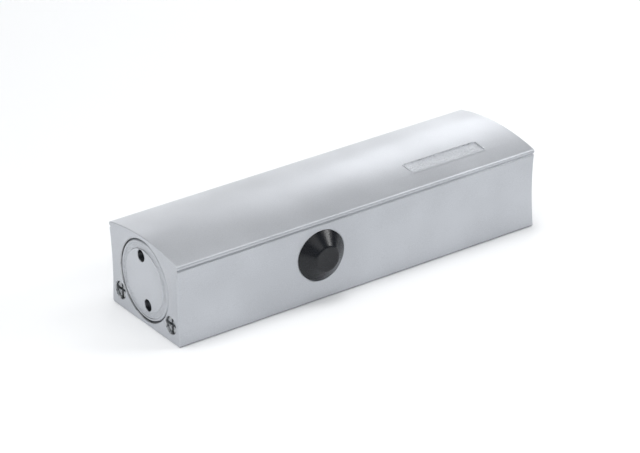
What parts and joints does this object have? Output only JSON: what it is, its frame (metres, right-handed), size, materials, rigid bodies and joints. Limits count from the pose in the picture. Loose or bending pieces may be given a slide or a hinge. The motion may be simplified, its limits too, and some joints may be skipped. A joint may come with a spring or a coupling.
{
  "type": "overhead door closer",
  "caption": "Surface-mounted hydraulic door closer body with an arched front, screwed end plugs, regulating valves, a rack-and-pinion spindle and a conical spindle cap.",
  "frame": {"origin": "middle of the mounting face that lies against the door", "axes": "+X along the body towards the closing-force plug, +Y along the spindle towards the arm's stub, +Z away from the door towards the arched front"},
  "size_m": [0.213, 0.0677, 0.0468],
  "materials": {
    "case_silver": "silver paint on die-cast aluminium, fine satin",
    "plug_silver": "silver paint on turned steel",
    "bright_steel": "turned bright steel",
    "zinc_steel": "zinc-plated steel",
    "spring_steel": "oil-tempered spring wire",
    "cast_iron": "machined grey iron",
    "bronze": "bearing bronze",
    "black_plastic": "satin black moulded plastic",
    "seal_rubber": "nitrile rubber"
  },
  "bodies": {
    "case": {"housing": "case_silver", "cylinder_plug": "plug_silver", "spring_plug": "plug_silver", "cap_side_bearing": "bronze", "arm_side_bearing": "bronze", "cap_side_bearing_ring": "bright_steel", "arm_side_bearing_ring": "bright_steel", "cap_side_shaft_seal": "seal_rubber", "arm_side_shaft_seal": "seal_rubber", "closing_spring": "spring_steel"},
    "spindle": {"spindle": "bright_steel", "spindle_cap": "black_plastic"},
    "piston": {"piston": "cast_iron", "check_disc_retainer": "bright_steel"},
    "check_disc": {"check_disc": "bright_steel"},
    "spring_plate": {"spring_plate": "bright_steel"},
    "adjusting_screw": {"adjusting_screw": "bright_steel", "adjusting_screw_circlip": "spring_steel"},
    "closing_speed_valve": {"closing_speed_valve": "zinc_steel"},
    "latching_valve": {"latching_valve": "zinc_steel"},
    "backcheck_valve": {"backcheck_valve": "zinc_steel"}
  },
  "joints": [
    {"name": "spindle_turn", "type": "hinge", "parent": "case", "child": "spindle", "pos_m": [-0.0238, 0, 0.0235], "axis": [0, 1, 0], "range_deg": [0, 180], "stiffness_Nm_per_rad": 5.6},
    {"name": "piston_slide", "type": "slide", "parent": "case", "child": "piston", "axis": [1, 0, 0], "range_m": [0, 0.0316], "deforming": ["closing_spring"]},
    {"name": "check_disc_lift", "type": "slide", "parent": "piston", "child": "check_disc", "axis": [-1, 0, 0], "range_m": [0, 0.0008]},
    {"name": "adjusting_screw_turn", "type": "hinge", "parent": "case", "child": "adjusting_screw", "pos_m": [0.1, 0, 0.0235], "axis": [-1, 0, 0], "range_deg": [0, 2520]},
    {"name": "spring_plate_slide", "type": "slide", "parent": "case", "child": "spring_plate", "axis": [-1, 0, 0], "range_m": [0, 0.0106], "deforming": ["closing_spring"]},
    {"name": "closing_speed_valve_turn", "type": "hinge", "parent": "case", "child": "closing_speed_valve", "pos_m": [-0.1, -0.02229, 0.00908], "axis": [1, 0, 0], "range_deg": [-360, 360]},
    {"name": "latching_valve_turn", "type": "hinge", "parent": "case", "child": "latching_valve", "pos_m": [-0.1, 0.02229, 0.00908], "axis": [1, 0, 0], "range_deg": [-360, 360]},
    {"name": "backcheck_valve_turn", "type": "hinge", "parent": "case", "child": "backcheck_valve", "pos_m": [0.1, 0.02229, 0.00908], "axis": [-1, 0, 0], "range_deg": [-360, 360]}
  ],
  "couplings": [
    {"joint": "piston_slide", "follows": "spindle_turn", "m_per_rad": 0.01},
    {"joint": "spring_plate_slide", "follows": "adjusting_screw_turn", "m_per_rad": 0.00023873}
  ]
}
